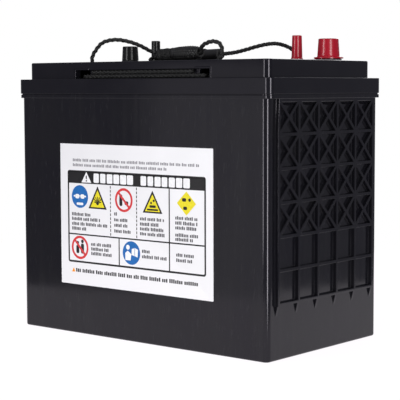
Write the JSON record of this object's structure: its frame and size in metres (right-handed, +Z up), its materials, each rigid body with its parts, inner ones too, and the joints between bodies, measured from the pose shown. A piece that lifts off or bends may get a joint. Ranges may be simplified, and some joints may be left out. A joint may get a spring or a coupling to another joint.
{
  "type": "deep cycle battery",
  "caption": "Upright deep cycle battery with ribbed end walls, a raised lid, capped post and stud terminals, a front label and rope lifting handles.",
  "frame": {"origin": "middle of the base on the surface that the battery stands on", "axes": "+X towards the positive end along the long side, +Y away from the label side, +Z up"},
  "size_m": [0.329, 0.1826, 0.3006],
  "materials": {
    "case_plastic": "satin",
    "lid_plastic": "satin",
    "vent_plastic": "satin",
    "valve_rubber": "matte",
    "seal_rubber": "matte",
    "positive_plates": "matte",
    "negative_plates": "matte",
    "glass_mat": "matte",
    "lead": "satin",
    "steel": "satin",
    "red_caps": "satin",
    "black_caps": "satin",
    "label_stock": "satin",
    "grip_plastic": "satin",
    "rope_braid": "matte"
  },
  "bodies": {
    "battery": {"case": "case_plastic", "lid": "lid_plastic", "vent_cover": "vent_plastic", "relief_valve_1": "valve_rubber", "relief_valve_2": "valve_rubber", "relief_valve_3": "valve_rubber", "relief_valve_4": "valve_rubber", "relief_valve_5": "valve_rubber", "relief_valve_6": "valve_rubber", "cell_1_positive_group": "positive_plates", "cell_1_negative_group": "negative_plates", "cell_1_separator": "glass_mat", "cell_2_positive_group": "positive_plates", "cell_2_negative_group": "negative_plates", "cell_2_separator": "glass_mat", "cell_3_positive_group": "positive_plates", "cell_3_negative_group": "negative_plates", "cell_3_separator": "glass_mat", "cell_4_positive_group": "positive_plates", "cell_4_negative_group": "negative_plates", "cell_4_separator": "glass_mat", "cell_5_positive_group": "positive_plates", "cell_5_negative_group": "negative_plates", "cell_5_separator": "glass_mat", "cell_6_positive_group": "positive_plates", "cell_6_negative_group": "negative_plates", "cell_6_separator": "glass_mat", "intercell_weld_1": "lead", "intercell_weld_2": "lead", "intercell_weld_3": "lead", "intercell_weld_4": "lead", "intercell_weld_5": "lead", "positive_terminal": "lead", "negative_terminal": "lead", "positive_stud": "steel", "negative_stud": "steel", "positive_seal": "seal_rubber", "negative_seal": "seal_rubber", "front_label": "label_stock", "front_rope_held": "rope_braid", "front_rope_tail": "rope_braid", "rear_rope_held": "rope_braid", "rear_rope_tail": "rope_braid"},
    "front_handle": {"front_rope_core": "rope_braid", "front_rope_knot": "rope_braid", "front_rope_first": "rope_braid", "front_rope_second": "rope_braid"},
    "front_hand_grip": {"front_grip": "grip_plastic", "front_grip_winding": "rope_braid"},
    "rear_handle": {"rear_rope_core": "rope_braid", "rear_rope_first": "rope_braid", "rear_rope_second": "rope_braid"},
    "rear_hand_grip": {"rear_grip": "grip_plastic"},
    "positive_post_cap_body": {"positive_post_cap": "red_caps"},
    "positive_stud_cap_body": {"positive_stud_cap": "red_caps"},
    "negative_post_cap_body": {"negative_post_cap": "black_caps"},
    "negative_stud_cap_body": {"negative_stud_cap": "black_caps"}
  },
  "joints": [
    {"name": "front_handle_lift", "type": "slide", "parent": "battery", "child": "front_handle", "axis": [-0.2754, -0.4639, 0.842], "range_m": [0, 0.0523], "deforming": ["front_rope_first", "front_rope_second"]},
    {"name": "front_grip_spin", "type": "hinge", "parent": "front_handle", "child": "front_hand_grip", "pos_m": [-0.025, -0.024, 0.2825], "axis": [0.9268, -0.3754, 0], "continuous": true},
    {"name": "rear_handle_lift", "type": "slide", "parent": "battery", "child": "rear_handle", "axis": [0.1488, 0.7012, 0.6973], "range_m": [0, 0.0631], "deforming": ["rear_rope_first", "rear_rope_second"]},
    {"name": "rear_grip_spin", "type": "hinge", "parent": "rear_handle", "child": "rear_hand_grip", "pos_m": [0.03, 0.004, 0.2825], "axis": [-0.9268, 0.3754, 0], "continuous": true},
    {"name": "positive_post_cap_lift", "type": "slide", "parent": "battery", "child": "positive_post_cap_body", "axis": [0, 0, 1], "range_m": [0, 0.03]},
    {"name": "positive_stud_cap_lift", "type": "slide", "parent": "battery", "child": "positive_stud_cap_body", "axis": [0, 0, 1], "range_m": [0, 0.03]},
    {"name": "negative_post_cap_lift", "type": "slide", "parent": "battery", "child": "negative_post_cap_body", "axis": [0, 0, 1], "range_m": [0, 0.03]},
    {"name": "negative_stud_cap_lift", "type": "slide", "parent": "battery", "child": "negative_stud_cap_body", "axis": [0, 0, 1], "range_m": [0, 0.03]}
  ]
}
